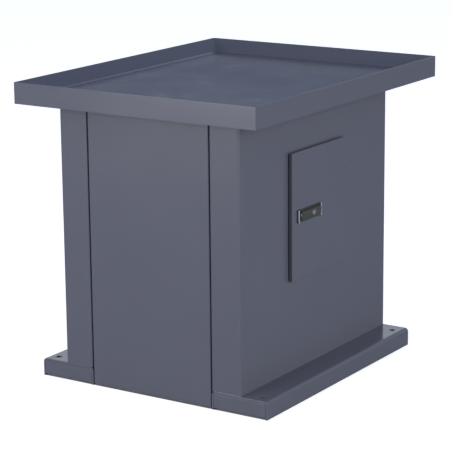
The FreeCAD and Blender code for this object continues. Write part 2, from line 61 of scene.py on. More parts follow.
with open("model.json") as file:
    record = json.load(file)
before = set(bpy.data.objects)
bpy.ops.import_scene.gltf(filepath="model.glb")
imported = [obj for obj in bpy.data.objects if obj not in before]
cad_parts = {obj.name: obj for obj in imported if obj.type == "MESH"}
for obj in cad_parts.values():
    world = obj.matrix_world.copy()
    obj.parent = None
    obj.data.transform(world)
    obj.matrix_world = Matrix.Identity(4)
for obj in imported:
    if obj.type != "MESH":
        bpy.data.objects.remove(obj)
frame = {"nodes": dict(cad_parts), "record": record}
CAD_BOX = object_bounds()
MM = 0.001
ALONG_X = Vector((1, 0, 0))
ALONG_Y = Vector((0, 1, 0))
ALONG_Z = Vector((0, 0, 1))
FACING_X = Matrix.Rotation(math.radians(90), 4, "Y")


# ---------------------------------------------------------------- sizes, colours and stage
def length(name, description, default):
    return FloatProperty(name=name, description=description, default=default, min=0.0,
                         precision=5, unit="LENGTH", subtype="DISTANCE")


def colour(name, description, default):
    return FloatVectorProperty(name=name, description=description, default=default, size=3,
                               min=0.0, max=1.0, subtype="COLOR")


def share(name, description, default):
    return FloatProperty(name=name, description=description, default=default, min=0.0, max=1.0,
                         subtype="FACTOR")


def angle(name, description, degrees):
    return FloatProperty(name=name, description=description, default=math.radians(degrees),
                         subtype="ANGLE")


class StandSizes(PropertyGroup):
    sheet: length("Sheet", "Thickness of the tray, the shells and the panels", 2.0 * MM)
    plate: length("Channel plate", "Thickness of the base channels", 5.0 * MM)
    cut_edge: length("Cut edge", "Rounding of a cut edge of the sheet", 0.3 * MM)
    plate_edge: length("Plate edge", "Rounding of a ground edge of the channels and their caps", 1.1 * MM)
    floor_drop: length("Tray floor drop", "From the rim's top down to the tray's floor", 29.5 * MM)
    slope_run: length("Tray slope run", "From the skirt in to the floor's bend", 35.0 * MM)
    rim_land: length("Rim land", "Flat top of the tray's fold", 3.0 * MM)
    floor_bend: length("Floor bend", "Bend between the tray's floor and its slope", 4.0 * MM)
    rim_bend: length("Rim bend", "Bends of the tray's rim and corners", 1.2 * MM)
    seam_flange: length("Seam flange", "Depth of the flanges that meet at a seam", 22.0 * MM)
    seam_bend: length("Seam bend", "Bends beside the seams", 3.0 * MM)
    corner_bend: length("Corner bend", "Bends at the cabinet's four corners", 6.0 * MM)
    channel_bend: length("Channel bend", "Bends of the base channels", 9.0 * MM)
    anchor_radius: length("Anchor hole", "Radius of the holes for the anchor bolts", 6.5 * MM)
    anchor_side: length("Anchor side inset", "From a channel's outer side to its holes", 27.0 * MM)
    anchor_front: length("Anchor front inset", "From a channel's front end to its hole", 26.0 * MM)
    anchor_rear: length("Anchor rear inset", "From a channel's rear end to its hole", 36.0 * MM)
    weld: length("Weld", "Leg of a fillet weld", 3.6 * MM)
    door_overlap: length("Door overlap", "Door's edge beyond the opening's", 12.0 * MM)
    opening_corner: length("Opening corner", "Corners of the door opening", 6.0 * MM)
    door_sheet: length("Door sheet", "Thickness of the door's pan", 1.5 * MM)
    door_bend: length("Door bend", "Bends round the door's face", 2.0 * MM)
    latch_plate: length("Latch plate", "Thickness of the latch's plate", 2.0 * MM)
    end_bar: length("End bar", "Width of the raised bar at each end of the plate", 4.5 * MM)
    boss_radius: length("Latch boss", "Radius of the boss behind the plate", 10.0 * MM)
    boss_depth: length("Latch boss depth", "From the plate's back to the boss's end", 12.0 * MM)
    lever_edge: length("Lever edge", "Rounding round the lever's face", 1.2 * MM)
    grip_length: length("Grip length", "Hollow under the lever's tip", 10.0 * MM)
    grip_depth: length("Grip depth", "Depth of the hollow at the tip", 2.0 * MM)
    lock_bore: length("Lock bore", "Radius of the bore that the key plug turns in", 4.6 * MM)
    pin_hole: length("Pin hole", "Radius of the plate's hole for the locking pin", 2.3 * MM)
    pin_hole_depth: length("Pin hole depth", "Depth of that hole", 1.6 * MM)
    pin_play: length("Pin play", "Room round the locking pin inside the lever", 0.05 * MM)


class StandFinishes(PropertyGroup):
    enamel: colour("Enamel", "Blue-grey paint", (0.087, 0.089, 0.114))
    enamel_roughness: share("Enamel roughness", "Roughness of the paint", 0.17)
    chrome: colour("Chrome", "Bright plating of the plate and the lock", (0.74, 0.74, 0.73))
    nickel: colour("Dark nickel", "Plating of the lever", (0.17, 0.16, 0.135))
    zinc: colour("Zinc", "Plating of the fasteners", (0.62, 0.62, 0.60))
    brass: colour("Brass", "Washers of the hinges", (0.62, 0.44, 0.18))
    rubber: colour("Rubber", "Seals and seam strips", (0.012, 0.012, 0.014))
    floor: colour("Floor", "Studio floor", (0.90, 0.90, 0.90))
    floor_glow: share("Floor glow", "How far the floor beside the stand is washed out", 0.65)


class StandStage(PropertyGroup):
    azimuth: angle("Azimuth", "Camera's place round the stand, from the front", 33.183)
    elevation: angle("Elevation", "Camera's height as an angle", 13.657)
    roll: angle("Roll", "Camera's tilt about its own axis", -0.551)
    distance: length("Distance", "From the camera to the point that it looks at", 4.5511)
    aim: FloatVectorProperty(name="Aim", description="Point looked at, from the stand's middle",
                             default=(-0.012, -0.0149, -0.0243), subtype="TRANSLATION")
    lens: FloatProperty(name="Lens", description="Focal length in millimetres", default=151.26,
                        min=10.0)
    floor_size: length("Floor size", "Side of the studio floor", 60.0)
    sky: share("Sky", "Strength of the light from all round", 1.0)


# ---------------------------------------------------------------- shader nodes
class Wire:
    """A socket in a shader. Arithmetic on it adds Math nodes."""

    def __init__(self, nodes, socket):
        self.nodes = nodes
        self.socket = socket

    def math(self, operation, *values):
        return self.nodes.add("ShaderNodeMath", {"operation": operation}, dict(enumerate(values)))

    def size(self):
        """The value without its sign."""
        return self.math("ABSOLUTE", self)

    def __add__(self, other):
        return self.math("ADD", self, other)

    def __sub__(self, other):
        return self.math("SUBTRACT", self, other)

    def __rsub__(self, other):
        return self.math("SUBTRACT", other, self)

    def __mul__(self, other):
        return self.math("MULTIPLY", self, other)

    __radd__ = __add__
    __rmul__ = __mul__

    def step(self, low, high):
        """0 below low, 1 above high and smooth in between."""
        return self.nodes.add("ShaderNodeMapRange", {"interpolation_type": "SMOOTHSTEP"},
                              {"Value": self, "From Min": low, "From Max": high})


class Nodes:
    """Adds nodes to one shader and joins them."""

    def __init__(self, tree):
        self.tree = tree
        tree.nodes.clear()

    def add(self, kind, settings=None, inputs=None, out=0):
        node = self.tree.nodes.new(kind)
        for key, value in (settings or {}).items():
            if key == "stops":
                self.set_stops(node.color_ramp, value)
            else:
                setattr(node, key, value)
        for key, value in (inputs or {}).items():
            if isinstance(value, Wire):
                self.tree.links.new(value.socket, node.inputs[key])
            else:
                node.inputs[key].default_value = value
        return Wire(self, node.outputs[out]) if len(node.outputs) else node

    def set_stops(self, ramp, stops):
        while len(ramp.elements) < len(stops):
            ramp.elements.new(1.0)
        for element, (place, value) in zip(ramp.elements, stops):
            element.position = place
            element.color = tone(value, 1.0)

    def place(self, stretch=(1.0, 1.0, 1.0)):
        """The place on the stand in metres, with each axis stretched."""
        point = self.add("ShaderNodeTexCoord", out="Object")
        return self.add("ShaderNodeMapping", {"vector_type": "POINT"},
                        {"Vector": point, "Scale": stretch})

    def noise(self, place, scale, detail=2.0, roughness=0.5):
        return self.add("ShaderNodeTexNoise", {"noise_dimensions": "3D"},
                        {"Vector": place, "Scale": scale, "Detail": detail, "Roughness": roughness})

    def mix(self, factor, first, second):
        return self.add("ShaderNodeMix", {"data_type": "RGBA", "blend_type": "MIX"},
                        {0: factor, 6: first, 7: second}, 2)

    def bump(self, height, depth, strength, under=None):
        inputs = {"Height": height, "Distance": depth, "Strength": strength}
        if under is not None:
            inputs["Normal"] = under
        return self.add("ShaderNodeBump", None, inputs)

    def shader(self, **inputs):
        """One Principled shader. The sockets are named in lower case with underscores."""
        named = {key.replace("_", " ").title(): value for key, value in inputs.items()}
        if "Ior" in named:
            named["IOR"] = named.pop("Ior")
        return self.add("ShaderNodeBsdfPrincipled", None, named)

    def close(self, shader):
        self.add("ShaderNodeOutputMaterial", None, {"Surface": shader})

    def surface(self, **inputs):
        """Closes the material with one Principled shader."""
        self.close(self.shader(**inputs))


def tone(base, factor):
    """A colour made darker or lighter, with the alpha that a colour socket takes."""
    return tuple(channel * factor for channel in base) + (1.0,)


# ---------------------------------------------------------------- finishes
def painted_steel(nodes, finishes):
    """Semi-gloss enamel sprayed on sheet: faint orange peel, slow waves in the sheet and handling marks."""
    place = nodes.place()
    peel = nodes.noise(place, 620.0, 2.0, 0.55)
    waves = nodes.noise(place, 3.5, 1.0, 0.4)
    cloud = nodes.noise(place, 7.0, 3.0, 0.6)
    smudge = nodes.noise(nodes.place((1.0, 1.0, 0.6)), 23.0, 5.0, 0.65).step(0.56, 0.72)
    fleck = nodes.noise(place, 1400.0, 1.0, 0.5).step(0.64, 0.74)
    base = nodes.mix(cloud, tone(finishes.enamel, 0.95), tone(finishes.enamel, 1.05))
    base = nodes.mix(fleck * 0.25, base, tone(finishes.enamel, 1.35))
    rough = finishes.enamel_roughness + (cloud - 0.5) * 0.06 + smudge * 0.05
    slow = nodes.bump(waves, 1.6 * MM, 0.35)
    nodes.surface(base_color=base, roughness=rough, ior=1.42, normal=nodes.bump(peel, 0.012 * MM, 0.5, slow))


def zinc_plated_steel(nodes, finishes):
    """Dull zinc with soft clouds and a fine grain."""
    place = nodes.place()
    cloud = nodes.noise(place, 90.0, 4.0, 0.6)
    grain = nodes.noise(place, 2600.0, 2.0)
    base = nodes.mix(cloud, tone(finishes.zinc, 0.5), tone(finishes.zinc, 0.8))
    nodes.surface(base_color=base, metallic=1.0, roughness=0.26 + cloud * 0.2,
                  normal=nodes.bump(grain, 0.02 * MM, 0.4))


def bright_chrome(nodes, finishes):
    """Plating painted in two tones of one chrome: a lighter copy where it stands up, as a painted highlight,
    and a darker copy on the plate's flat, as painted shade.
    """
    hairs = nodes.noise(nodes.place((1.0, 0.06, 1.0)), 2400.0, 3.0, 0.6)
    haze = nodes.noise(nodes.place(), 160.0, 4.0, 0.6)
    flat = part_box("latch_lever")[0].x
    out = nodes.add("ShaderNodeSeparateXYZ", None, {0: nodes.place()}, "X")
    # Painted highlight and painted shade: parts that stand out past the lever's back get the lighter chrome,
    # the plate's flat gets the darker chrome
    raised = out.step(flat, flat + 2.5 * MM)
    painted_shade_flat = nodes.mix(haze, tone(finishes.chrome, 0.09), tone(finishes.chrome, 0.26))
    painted_highlight = nodes.mix(haze, tone(finishes.chrome, 0.45), tone(finishes.chrome, 0.95))
    base = nodes.mix(raised, painted_shade_flat, painted_highlight)
    nodes.surface(base_color=base, metallic=1.0, roughness=0.36 - raised * 0.06 + haze * 0.08,
                  normal=nodes.bump(hairs, 0.01 * MM, 0.35))


def dark_nickel(nodes, finishes):
    """Smoky plating, brushed along the lever and rubbed a little brighter where it is handled."""
    brush = nodes.noise(nodes.place((1.0, 0.05, 1.0)), 1800.0, 4.0, 0.65)
    rub = nodes.noise(nodes.place(), 45.0, 3.0, 0.6)
    base = nodes.mix(rub, tone(finishes.nickel, 0.8), tone(finishes.nickel, 1.3))
    nodes.surface(base_color=base, metallic=1.0, roughness=0.24 + brush * 0.16,
                  normal=nodes.bump(brush, 0.02 * MM, 0.4))


def brass(nodes, finishes):
    """Turned brass with faint rings of wear."""
    tarnish = nodes.noise(nodes.place(), 240.0, 4.0)
    base = nodes.mix(tarnish, tone(finishes.brass, 0.7), tone(finishes.brass, 1.1))
    nodes.surface(base_color=base, metallic=1.0, roughness=0.28 + tarnish * 0.18,
                  normal=nodes.bump(tarnish, 0.03 * MM, 0.3))


def black_rubber(nodes, finishes):
    """Matt sealing strip with a pebbled skin and a little dust."""
    pebble = nodes.noise(nodes.place(), 1500.0, 3.0)
    dust = nodes.noise(nodes.place(), 50.0, 4.0).step(0.5, 0.8)
    base = nodes.mix(dust * 0.35, tone(finishes.rubber, 1.0), tone(finishes.rubber, 3.0))
    nodes.surface(base_color=base, roughness=0.62 + dust * 0.2, normal=nodes.bump(pebble, 0.08 * MM, 0.5))


def pale_floor(nodes, finishes):
    """Studio floor, washed out where it is seen beside the stand, left dim under it as a painted shadow, and
    dim in reflections.
    """
    mottle = nodes.noise(nodes.place(), 1.3, 3.0)
    base = nodes.mix(mottle, tone(finishes.floor, 0.995), tone(finishes.floor, 1.005))
    dim = nodes.shader(base_color=tone(finishes.floor, 0.5), roughness=0.8)
    washed = nodes.shader(base_color=base, roughness=0.8, emission_color=(1.0, 0.98, 0.95, 1.0),
                          emission_strength=finishes.floor_glow)
    # Painted shadow: inside the stand's footprint the camera sees the dim floor instead of the washed one, so
    # the floor is darker under the stand
    low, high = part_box("right_base_channel")
    rim = 0.985
    under = 1.0
    for axis, middle, reach in (("X", 0.0, high.x), ("Y", (low.y + high.y) / 2, (high.y - low.y) / 2)):
        at = nodes.add("ShaderNodeSeparateXYZ", None, {0: nodes.place()}, axis)
        under = under * (1.0 - (at - middle).size().step(reach * rim, reach))
    seen = nodes.add("ShaderNodeLightPath", out="Is Camera Ray")
    nodes.close(nodes.add("ShaderNodeMixShader", None, {0: seen * (1.0 - under), 1: dim, 2: washed}))


FINISHES = {made.__name__: made for made in
            (painted_steel, zinc_plated_steel, bright_chrome, dark_nickel, brass, black_rubber, pale_floor)}


def finish(slot):
    """The finish of a material slot, made the first time that it is asked for."""
    name = slot + "_finish"
    material = bpy.data.materials.get(name)
    if material is None:
        material = bpy.data.materials.new(name)
        material.use_nodes = True
        FINISHES[slot](Nodes(material.node_tree), bpy.context.scene.stand_finishes)
    return material


# ---------------------------------------------------------------- shaping
def sizes():
    return bpy.context.scene.stand_sizes


def middle_of(node):
    low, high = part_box(node)
    return (low + high) / 2


def give_wall(made, thickness):
    """Thickens a sheet inwards."""
    solid = made.modifiers.new("wall", "SOLIDIFY")
    solid.thickness = thickness
    solid.offset = -1.0
    solid.use_even_offset = True


def round_edges(made, width, sharper_than):
    """Rounds the edges that turn by more than an angle in degrees."""
    rounding = made.modifiers.new("cut_edges", "BEVEL")
    rounding.width = width
    rounding.segments = 2
    rounding.limit_method = "ANGLE"
    rounding.angle_limit = math.radians(sharper_than)


def piece(name, bm, body, slot, replaces=(), wall=0.0, cut_edge=0.0):
    """Turns a bmesh into a piece, with an inward wall and rounded cut edges if they are given."""
    mesh = bpy.data.meshes.new(name)
    bm.to_mesh(mesh)
    bm.free()
    mesh.shade_smooth()
    made = bpy.data.objects.new(name, mesh)
    bpy.context.scene.collection.objects.link(made)
    mesh.materials.append(finish(slot))
    if wall:
        give_wall(made, wall)
    if cut_edge:
        round_edges(made, cut_edge, 50)
    even = made.modifiers.new("even_shading", "WEIGHTED_NORMAL")
    even.keep_sharp = True
    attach(made, body)
    if replaces:
        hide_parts(*replaces)
    return made


def bend(bm, edges, radius, segments=6):
    bmesh.ops.bevel(bm, geom=edges, offset=radius, offset_type="OFFSET", segments=segments,
                    profile=0.5, affect="EDGES", clamp_overlap=True, material=-1)


def on_line(edge, point, along):
    """True if the whole edge lies on the line through a point."""
    return all((vert.co - point).cross(along).length < 1e-6 for vert in edge.verts)


def folded(points, along, reach, bends, inside):
    """An open sheet drawn out from a line of points, with a rounded bend at each inner point."""
    bm = bmesh.new()
    verts = [bm.verts.new(point) for point in points]
    edges = [bm.edges.new(pair) for pair in zip(verts, verts[1:])]
    made = bmesh.ops.extrude_edge_only(bm, edges=edges)["geom"]
    far = [item for item in made if isinstance(item, bmesh.types.BMVert)]
    bmesh.ops.translate(bm, vec=along * reach, verts=far)
    for point, radius in zip(points[1:-1], bends):
        bend(bm, [edge for edge in bm.edges if on_line(edge, Vector(point), along)], radius)
    face_away(bm, inside)
    return bm


def face_away(bm, inside):
    """Turns an open sheet's faces away from a point inside it."""
    bmesh.ops.recalc_face_normals(bm, faces=bm.faces)
    widest = max(bm.faces, key=lambda face: face.calc_area())
    if widest.normal.dot(widest.calc_center_median() - inside) < 0:
        bmesh.ops.reverse_faces(bm, faces=bm.faces)


def flat_face(bm, normal, point):
    """The face that looks one way and holds a point."""
    return next(face for face in bm.faces
                if face.normal.dot(normal) > 0.999
                and abs(normal.dot(face.calc_center_median() - point)) < 1e-6
                and bmesh.geometry.intersect_face_point(face, point))


def slice_at(bm, point, normal):
    """Divides the faces along a plane and leaves the shape as it is."""
    geometry = bm.verts[:] + bm.edges[:] + bm.faces[:]
    bmesh.ops.bisect_plane(bm, geom=geometry, plane_co=point, plane_no=normal, dist=1e-7)


def ring_of(bm, centre, facing, radius):
    """A round ring of edges for a hole."""
    made = bmesh.ops.create_circle(bm, cap_ends=False, segments=48, radius=radius,
                                   matrix=Matrix.Translation(centre) @ facing)
    return list(dict.fromkeys(edge for vert in made["verts"] for edge in vert.link_edges))


def rounded_ring(bm, corners, radius):
    """A ring of edges round a rectangle with rounded corners."""
    face = bm.faces.new([bm.verts.new(corner) for corner in corners])
    made = bmesh.ops.bevel(bm, geom=list(face.verts), offset=radius, offset_type="OFFSET", segments=8,
                           profile=0.5, affect="VERTICES", clamp_overlap=True, material=-1)
    face = next(item for item in made["faces"] + list(bm.faces) if len(item.verts) > 12)
    edges = list(face.edges)
    bmesh.ops.delete(bm, geom=[face], context="FACES_ONLY")
    return edges


def open_face(bm, face, rings):
    """Cuts holes in a flat face, one for each ring of edges that lies in it."""
    outer = list(face.edges)
    normal = face.normal.copy()
    bmesh.ops.delete(bm, geom=[face], context="FACES_ONLY")
    bmesh.ops.triangle_fill(bm, edges=outer + [edge for ring in rings for edge in ring],
                            normal=normal, use_beauty=True)


def sink(bm, mouth, looks, radius, depth):
    """Sinks a round hole with a flat floor into a flat face that looks along x."""
    face = flat_face(bm, looks, mouth)
    ring = ring_of(bm, mouth, FACING_X, radius)
    open_face(bm, face, [ring])
    grown = bmesh.ops.extrude_edge_only(bm, edges=ring)["geom"]
    floor = [item for item in grown if isinstance(item, bmesh.types.BMVert)]
    bmesh.ops.translate(bm, vec=looks * -depth, verts=floor)
    bmesh.ops.contextual_create(bm, geom=floor)
    bmesh.ops.recalc_face_normals(bm, faces=bm.faces)


def box_shape(bm, low, high):
    """A closed block between two corners."""
    middle = (low + high) / 2
    size = Matrix.Diagonal((high - low).to_4d())
    return bmesh.ops.create_cube(bm, size=1.0, matrix=Matrix.Translation(middle) @ size)["verts"]


def edges_along(bm, along):
    return [edge for edge in bm.edges
            if abs((edge.verts[1].co - edge.verts[0].co).normalized().dot(along)) > 0.99]


def edges_at(bm, axis, value):
    """Edges that lie wholly at one value of an axis."""
    return [edge for edge in bm.edges if all(abs(vert.co[axis] - value) < 1e-6 for vert in edge.verts)]


# ---------------------------------------------------------------- tray
class STAND_OT_tray(Operator):
    """Chip tray folded from one sheet, with mitred corners"""

    bl_idname = "stand.tray"
    bl_label = "Tray"

    def execute(self, context):
        size = sizes()
        low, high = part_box("chip_tray")
        slope = size.slope_run - size.rim_land
        steps = [
            (slope, size.floor_drop),
            (size.rim_land, 0.0),
            (0.0, low.z - high.z),
        ]
        bm = bmesh.new()
        weight = bm.edges.layers.float.new("bevel_weight_edge")
        inset = Vector((size.slope_run, size.slope_run, 0))
        floor = box_shape(bm, low + inset, high - inset)
        bmesh.ops.delete(bm, geom=[vert for vert in floor if vert.co.z < high.z - 1e-6], context="VERTS")
        bmesh.ops.translate(bm, vec=(0, 0, -size.floor_drop), verts=bm.verts)
        edges = list(bm.edges)
        for number, (out, up) in enumerate(steps):
            made = bmesh.ops.extrude_edge_only(bm, edges=edges)["geom"]
            for edge in edges:
                edge[weight] = 1.0 if number == 0 else size.rim_bend / size.floor_bend
            for vert in (item for item in made if isinstance(item, bmesh.types.BMVert)):
                vert.co += Vector((math.copysign(out, vert.co.x), math.copysign(out, vert.co.y), up))
            edges = [item for item in made if isinstance(item, bmesh.types.BMEdge)]
        for edge in bm.edges:
            corner = (edge.verts[0].co - edge.verts[1].co).normalized()
            if not edge.is_boundary and abs(corner.x) < 0.9 and abs(corner.y) < 0.9:
                edge[weight] = size.rim_bend / size.floor_bend
        face_away(bm, Vector((0, 0, low.z)))
        tray = piece("tray", bm, "stand", "painted_steel", ["chip_tray"])
        folds = tray.modifiers.new("folds", "BEVEL")
        folds.width = size.floor_bend
        folds.segments = 5
        folds.limit_method = "WEIGHT"
        give_wall(tray, size.sheet)
        round_edges(tray, size.cut_edge, 60)
        # The even shading comes last, as on every piece
        tray.modifiers.move(0, len(tray.modifiers) - 1)
        return {"FINISHED"}


# ---------------------------------------------------------------- cabinet
def shell(name, side):
    """A side of the cabinet with its two columns and the flanges at its seams."""
    size = sizes()
    low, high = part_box(name)
    outer, inner = (high.x, low.x) if side > 0 else (low.x, high.x)
    points = [
        (inner, low.y + size.seam_flange, low.z),
        (inner, low.y, low.z),
        (outer, low.y, low.z),
        (outer, high.y, low.z),
        (inner, high.y, low.z),
        (inner, high.y - size.seam_flange, low.z),
    ]
    bends = [size.seam_bend, size.corner_bend, size.corner_bend, size.seam_bend]
    inside = Vector((inner, (low.y + high.y) / 2, (low.z + high.z) / 2))
    return folded(points, ALONG_Z, high.z - low.z, bends, inside), outer


class STAND_OT_shells(Operator):
    """The two folded sides of the cabinet, the right one with the door opening"""

    bl_idname = "stand.shells"
    bl_label = "Side shells"

    def execute(self, context):
        size = sizes()
        left, _ = shell("left_side_shell", -1)
        piece("left_shell", left, "stand", "painted_steel", ["left_side_shell"], size.sheet, size.cut_edge)
        right, outer = shell("right_side_shell", 1)
        low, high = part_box("door_pan")
        y0, y1 = low.y + size.door_overlap, high.y - size.door_overlap
        z0, z1 = low.z + size.door_overlap, high.z - size.door_overlap
        face = flat_face(right, ALONG_X, Vector((outer, (y0 + y1) / 2, (z0 + z1) / 2)))
        corners = [(outer, y0, z0), (outer, y1, z0), (outer, y1, z1), (outer, y0, z1)]
        opening = rounded_ring(right, corners, size.opening_corner)
        open_face(right, face, [opening])
        piece("right_shell", right, "stand", "painted_steel", ["right_side_shell"], size.sheet, size.cut_edge)
        return {"FINISHED"}


class STAND_OT_panels(Operator):
    """The front and the rear panel between the seams"""

    bl_idname = "stand.panels"
    bl_label = "Front and rear panels"

    def execute(self, context):
        size = sizes()
        for node in ("front_panel", "rear_panel"):
            low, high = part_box(node)
            face, back = (low.y, high.y) if node == "front_panel" else (high.y, low.y)
            points = [
                (low.x, back, low.z),
                (low.x, face, low.z),
                (high.x, face, low.z),
                (high.x, back, low.z),
            ]
            inside = Vector((0, back, (low.z + high.z) / 2))
            bm = folded(points, ALONG_Z, high.z - low.z, [size.seam_bend] * 2, inside)
            piece(node.replace("panel", "sheet"), bm, "stand", "painted_steel", [node],
                  size.sheet, size.cut_edge)
        return {"FINISHED"}


# ---------------------------------------------------------------- base
class STAND_OT_channels(Operator):
    """The two base channels with their anchor holes, and the plates that close their ends"""

    bl_idname = "stand.channels"
    bl_label = "Base channels"

    def execute(self, context):
        size = sizes()
        for side, sign in (("right", 1), ("left", -1)):
            node = side + "_base_channel"
            low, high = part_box(node)
            points = [
                (high.x, low.y, low.z),
                (high.x, low.y, high.z),
                (low.x, low.y, high.z),
                (low.x, low.y, low.z),
            ]
            inside = Vector(((low.x + high.x) / 2, (low.y + high.y) / 2, low.z))
            bm = folded(points, ALONG_Y, high.y - low.y, [size.channel_bend] * 2, inside)
            x = high.x - size.anchor_side if sign > 0 else low.x + size.anchor_side
            for y in (low.y + size.anchor_front, high.y - size.anchor_rear):
                # A hole in a short face of its own leaves no long thin triangles to shade unevenly
                for away in (-3 * size.anchor_radius, 3 * size.anchor_radius):
                    slice_at(bm, Vector((0, y + away, 0)), ALONG_Y)
                hole = Vector((x, y, high.z))
                top = flat_face(bm, ALONG_Z, hole)
                open_face(bm, top, [ring_of(bm, hole, Matrix(), size.anchor_radius)])
            piece(side + "_channel", bm, "stand", "painted_steel", [node], size.plate, size.plate_edge)
            for end in ("front", "rear"):
                self.make_cap(f"{end}_{side}_end_cap", size)
        return {"FINISHED"}

    def make_cap(self, node, size):
        low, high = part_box(node)
        bm = bmesh.new()
        box_shape(bm, low, high)
        upper = [edge for edge in edges_along(bm, ALONG_Y) if edge.verts[0].co.z > high.z - 1e-6]
        bend(bm, upper, size.channel_bend - size.plate)
        piece(node.replace("end_cap", "cap"), bm, "stand", "painted_steel", [node], 0.0, size.plate_edge)


def bead(bm, start, end, radius, ripple):
    """A rippled fillet weld between two points, sunk half into the corner that it fills."""
    waist, tip = 0.8, 0.6
    run = end - start
    count = max(3, round(run.length / ripple))
    turn = run.to_track_quat("Z", "Y").to_matrix().to_4x4()
    made = bmesh.ops.create_circle(bm, cap_ends=True, segments=10, radius=radius * waist,
                                   matrix=Matrix.Translation(start) @ turn)
    face = made["verts"][0].link_faces[0]
    for number in range(1, 2 * count + 1):
        grown = bmesh.ops.extrude_discrete_faces(bm, faces=[face])["faces"]
        face = grown[0]
        bmesh.ops.translate(bm, vec=run / (2 * count), verts=face.verts)
        swell = 1.0 / waist if number % 2 else waist
        if number == 2 * count:
            swell = tip
        centre = face.calc_center_median()
        bmesh.ops.scale(bm, vec=Vector((swell,) * 3), verts=face.verts, space=Matrix.Translation(-centre))
    bmesh.ops.contextual_create(bm, geom=[edge for edge in bm.edges if edge.is_boundary])
    bmesh.ops.recalc_face_normals(bm, faces=bm.faces)


class STAND_OT_welds(Operator):
    """Fillet welds between the columns and the channels"""

    bl_idname = "stand.welds"
    bl_label = "Welds"

    def execute(self, context):
        size = sizes()
        bm = bmesh.new()
        for node, sign in (("right_side_shell", 1), ("left_side_shell", -1)):
            low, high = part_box(node)
            inner, outer = (low.x, high.x) if sign > 0 else (high.x, low.x)
            for y, back in ((low.y, 1), (high.y, -1)):
                sunk = y + back * size.weld * 0.35
                first = Vector((inner + sign * size.seam_bend * 2, sunk, low.z))
                last = Vector((outer - sign * size.corner_bend * 1.5, sunk, low.z))
                bead(bm, first, last, size.weld * 0.6, size.weld)
        piece("column_welds", bm, "stand", "painted_steel")
        return {"FINISHED"}


# ---------------------------------------------------------------- door and latch
class STAND_OT_door(Operator):
    """The door's folded pan"""

    bl_idname = "stand.door"
    bl_label = "Door"

    def execute(self, context):
        size = sizes()
        low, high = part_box("door_pan")
        bm = bmesh.new()
        box_shape(bm, low, high)
        back = min(bm.faces, key=lambda face: face.calc_center_median().x)
        bmesh.ops.delete(bm, geom=[back], context="FACES_ONLY")
        bend(bm, edges_along(bm, ALONG_X) + edges_at(bm, 0, high.x), size.door_bend)
        face_away(bm, Vector((low.x, (low.y + high.y) / 2, (low.z + high.z) / 2)))
        piece("door_sheet", bm, "door", "painted_steel", ["door_pan"], size.door_sheet, size.cut_edge)
        return {"FINISHED"}


